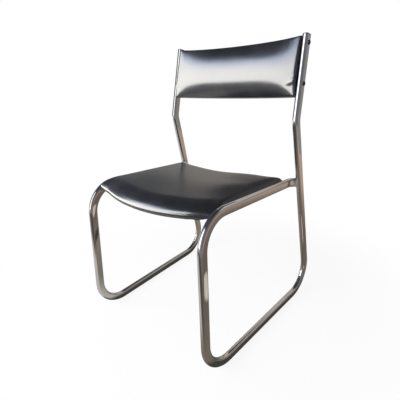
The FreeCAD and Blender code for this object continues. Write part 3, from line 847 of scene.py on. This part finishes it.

# Colours of the reflected ceiling and ground, with a painted shadow beside the runners and a painted sunlit
# patch.
CEILING_FRONT, CEILING_REAR = (0.075, 0.085, 0.105, 1.0), (0.04, 0.04, 0.045, 1.0)
GROUND_LEFT, GROUND_RIGHT = (0.237, 0.208, 0.170, 1.0), (0.155, 0.132, 0.108, 1.0)
GROUND_FRONT, GROUND_REAR = (0.20, 0.21, 0.23, 1.0), (0.50, 0.38, 0.31, 1.0)
GROUND_PALE, GROUND_DARK = (0.58, 0.55, 0.53, 1.0), (0.085, 0.08, 0.075, 1.0)
GROUND_LIT, GROUND_SHADE = (0.90, 0.89, 0.87, 1.0), (0.06, 0.06, 0.055, 1.0)
GROUND_SUNLIT_PATCH = (0.62, 0.59, 0.50, 1.0)


def compass(turn, stops):
    """Colour by compass direction, in degrees from the front and positive to the right."""
    tree = turn.id_data
    share = add_node(tree, "ShaderNodeMapRange", {"Value": turn, "From Min": -math.pi, "From Max": math.pi})
    node = add_node(tree, "ShaderNodeValToRGB", {"Fac": share.outputs["Result"]})
    marks = node.color_ramp.elements
    while len(marks) < len(stops):
        marks.new(0.5)
    for mark, (degrees, colour) in zip(marks, stops):
        mark.position = (degrees + 180) / 360
        mark.color = colour + (1.0,)
    return node.outputs["Color"]


def wall_paint(turn, z, mirrored):
    """Walls without the window; mirrored is 1 for what the chrome shows and 0 for what the pads show."""
    colour = colour_mix(ramp_node(z, 0.30, 0.44), compass(turn, SKIRTING), compass(turn, LOW_WALL))
    drop = times(between(turn, -3.10, -2.85, -2.62, -2.40), 0.6)
    colour = colour_mix(ramp_node(plus(z, drop), 1.25, 1.55), colour, compass(turn, HIGH_WALL))
    colour = colour_mix(ramp_node(z, 2.2, 3.1), colour, DARK_TOP)
    behind = minus(1.0, between(turn, -2.35, -2.2, 2.1, 2.3))
    glow = times(behind, between(z, 1.0, 1.3, 2.7, 3.3))
    colour = colour_mix(times(glow, mirrored), colour, REAR_GLOW)
    cool = times(between(turn, 0.45, 0.75, 1.25, 1.55), between(z, 0.4, 0.6, 1.5, 2.0))
    return colour_mix(times(cool, minus(1.0, mirrored)), colour, COOL_WALL)


def window_mask(turn, z, mirrored):
    """Place of the window, wider at the left and narrower at the right for the pads than for the chrome."""
    blurred = minus(1.0, mirrored)
    wing = minus(0.5, times(between(z, 0.72, 0.9, 2.0, 2.3), 0.25))
    wing = minus(times(wing, blurred), times(mirrored, 0.25))
    trim = times(times(between(z, 0.7, 0.9, 1.5, 1.9), 0.20), blurred)
    side = times(ramp_node(plus(turn, wing), -1.03, -0.82), ramp_node(plus(turn, trim), 0.06, -0.15))
    return times(side, between(z, 0.28, 0.50, 3.05, 3.85))


def window_light(z, path):
    """Light of the window: bluer and dimmer above, softer in the chrome and in a second reflection."""
    light = colour_mix(ramp_node(z, 1.6, 3.4), WINDOW_LOW, WINDOW_HIGH)
    light = colour_mix(path["Is Singular Ray"], light, WINDOW_IN_CHROME)
    return colour_mix(ramp_node(path["Glossy Depth"], 1.4, 1.6), light, WINDOW_SEEN_TWICE)


def wall_colour(x, y, z):
    """Walls: a bright window at the front left, dim brown at the rear, dark towards the ceiling."""
    turn = math_node("ARCTAN2", x, times(y, -1.0))
    path = add_node(z.id_data, "ShaderNodeLightPath").outputs
    mirrored = path["Is Singular Ray"]
    return colour_mix(window_mask(turn, z, mirrored), wall_paint(turn, z, mirrored), window_light(z, path))


def ceiling_colour(x, y, z):
    return colour_mix(ramp_node(y, -2.5, 1.0), CEILING_FRONT, CEILING_REAR)


def ground_colour(x, y, z):
    """Ground: brown by the chair, pale before it and at the left, dark to the right, with a painted shadow
    along the runners and a painted sunlit patch at the right.
    """
    back = plus(y, 0.267)
    ahead = times(plus(x, back), -0.7071)
    aside = times(minus(x, back), 0.7071)
    reach = math_node("SQRT", plus(times(x, x), times(y, y)), 0.0)
    near = colour_mix(ramp_node(x, 0.1, 0.5), GROUND_LEFT, GROUND_RIGHT)
    far = colour_mix(ramp_node(y, -0.7, 0.3), GROUND_FRONT, GROUND_REAR)
    colour = colour_mix(ramp_node(reach, 0.7, 1.8), near, far)
    pale = times(between(ahead, -0.05, 0.15, 0.75, 1.1), ramp_node(aside, 0.35, 0.22))
    colour = colour_mix(pale, colour, GROUND_PALE)
    dark = times(between(aside, 0.30, 0.45, 0.9, 1.4), ramp_node(ahead, -0.3, -0.1))
    colour = colour_mix(dark, colour, GROUND_DARK)
    lit = plus(times(x, -0.95), times(y, 0.5))
    colour = colour_mix(ramp_node(lit, 0.0, 1.9), colour, GROUND_LIT)
    beside = minus(math_node("ABSOLUTE", x, 0.0), 0.241)
    shade = times(between(beside, -0.055, -0.03, 0.03, 0.055), between(back, -0.02, 0.02, 0.54, 0.58))
    colour = colour_mix(shade, colour, GROUND_SHADE)
    # Painted sunlit patch on the ground to the right of the chair.
    over = minus(x, 0.53)
    along = minus(y, 0.09)
    sunlit_patch = plus(times(over, over), times(along, along))
    return colour_mix(ramp_node(sunlit_patch, 0.014, 0.005), colour, GROUND_SUNLIT_PATCH)


def reflected_room():
    """Walls, ceiling and ground that only reflections show."""
    walls = new_piece("reflected_walls", bpy.ops.mesh.primitive_cylinder_add, vertices=96, radius=ROOM_RADIUS,
                      depth=ROOM_HEIGHT, end_fill_type="NOTHING", location=(0, 0, ROOM_HEIGHT / 2))
    surround(walls, wall_colour)
    for name, height, colour_by in (("reflected_ceiling", ROOM_HEIGHT, ceiling_colour),
                                    ("reflected_ground", 0.001, ground_colour)):
        sheet = new_piece(name, bpy.ops.mesh.primitive_circle_add, vertices=96, radius=ROOM_RADIUS,
                          fill_type="NGON", location=(0, 0, height))
        surround(sheet, colour_by)


def seen_directly(tree):
    """1 for camera, glossy and transmission rays."""
    path = add_node(tree, "ShaderNodeLightPath").outputs
    total = math_node("MAXIMUM", path["Is Camera Ray"], path["Is Glossy Ray"])
    return math_node("MAXIMUM", total, path["Is Transmission Ray"])


def white_room():
    """White surroundings that also give even light."""
    world = bpy.data.worlds.new("white_room")
    bpy.context.scene.world = world
    tree = bare_tree(world)
    light = add_node(tree, "ShaderNodeBackground", {"Color": (0.95, 0.97, 1.0, 1.0), "Strength": 0.45})
    white = add_node(tree, "ShaderNodeBackground", {"Color": (1.0, 1.0, 1.0, 1.0), "Strength": 1.0})
    mix = add_node(tree, "ShaderNodeMixShader", {"Fac": seen_directly(tree), 1: light.outputs["Background"],
                                                 2: white.outputs["Background"]})
    add_node(tree, "ShaderNodeOutputWorld", {"Surface": mix.outputs["Shader"]})


def pale_floor():
    """White floor that keeps a soft shadow near the chair and fades into the white surroundings."""
    floor = new_piece("floor", bpy.ops.mesh.primitive_plane_add, size=40.0)
    material = bpy.data.materials.new("pale_floor")
    tree = bare_tree(material)
    lit = add_node(tree, "ShaderNodeBsdfDiffuse", {"Color": (0.9, 0.9, 0.9, 1.0)})
    white = add_node(tree, "ShaderNodeEmission", {"Color": (1.0, 1.0, 1.0, 1.0), "Strength": 1.0})
    span = add_node(tree, "ShaderNodeVectorMath", {0: object_place(tree)}, operation="LENGTH")
    away = ramp_node(span.outputs["Value"], 0.45, 0.9)
    share = plus(times(away, 0.12), 0.88)
    mix = add_node(tree, "ShaderNodeMixShader", {"Fac": times(share, seen_directly(tree)),
                                                 1: lit.outputs["BSDF"], 2: white.outputs["Emission"]})
    add_node(tree, "ShaderNodeOutputMaterial", {"Surface": mix.outputs["Shader"]})
    floor.data.materials.append(material)


def soft_light(name, place, target, width, height, power):
    """Large area lamp turned to target."""
    data = bpy.data.lights.new(name, "AREA")
    data.shape = "RECTANGLE"
    data.size = width
    data.size_y = height
    data.energy = power
    lamp = bpy.data.objects.new(name, data)
    bpy.context.scene.collection.objects.link(lamp)
    lamp.location = place
    aim = [t - p for t, p in zip(target, place)]
    flat = math.hypot(aim[0], aim[1])
    lamp.rotation_euler = (math.atan2(flat, -aim[2]), 0.0, math.atan2(-aim[0], aim[1]))
    lamp.visible_camera = False
    lamp.visible_glossy = False


class CHAIR_OT_stage(bpy.types.Operator):
    """White floor, soft front light, the room that the metal reflects, and the camera"""
    bl_idname = "chair.stage"
    bl_label = "Set Stage"

    def execute(self, context):
        stage = settings().stage
        scene = context.scene
        scene.view_settings.view_transform = "Standard"
        white_room()
        pale_floor()
        soft_light("key", (-1.1, -2.6, 1.5), (0.0, 0.0, 0.6), 2.8, 2.6, stage.key_power)
        reflected_room()
        data = bpy.data.cameras.new("camera")
        data.sensor_width = 36.0
        data.lens = stage.lens
        data.shift_y = stage.shift
        data.clip_start = 0.01
        camera = bpy.data.objects.new("camera", data)
        scene.collection.objects.link(camera)
        camera.location = stage.eye
        camera.rotation_euler = stage.aim
        scene.camera = camera
        return {"FINISHED"}


STEPS = (CHAIR_OT_tubes, CHAIR_OT_fittings, CHAIR_OT_boards, CHAIR_OT_seat_pad, CHAIR_OT_back_pad,
         CHAIR_OT_dust_cloth, CHAIR_OT_stage)
GROUPS = (TubeSettings, SeatPadSettings, BackPadSettings, FinishSettings, StageSettings, ChairSettings)


class CHAIR_PT_panel(bpy.types.Panel):
    """Lists the chair's settings and steps"""
    bl_idname = "CHAIR_PT_panel"
    bl_label = "Sled Base Chair"
    bl_space_type = "VIEW_3D"
    bl_region_type = "UI"
    bl_category = "Chair"

    def draw(self, context):
        chair = context.scene.sled_chair
        for label, group in (("Tube", chair.tube), ("Seat", chair.seat), ("Back", chair.back),
                             ("Finish", chair.finish), ("Stage", chair.stage)):
            box = self.layout.box()
            box.label(text=label)
            for name in group.__annotations__:
                box.prop(group, name)
        for step in STEPS:
            self.layout.operator(step.bl_idname)


def register():
    for kind in GROUPS + STEPS + (CHAIR_PT_panel,):
        bpy.utils.register_class(kind)
    bpy.types.Scene.sled_chair = PointerProperty(type=ChairSettings)


def unregister():
    del bpy.types.Scene.sled_chair
    for kind in reversed(GROUPS + STEPS + (CHAIR_PT_panel,)):
        bpy.utils.unregister_class(kind)


def main():
    register()
    bpy.ops.chair.tubes()
    bpy.ops.chair.fittings()
    bpy.ops.chair.boards()
    bpy.ops.chair.seat_pad()
    bpy.ops.chair.back_pad()
    bpy.ops.chair.dust_cloth()
    bpy.ops.chair.stage()


if __name__ == "__main__":
    main()
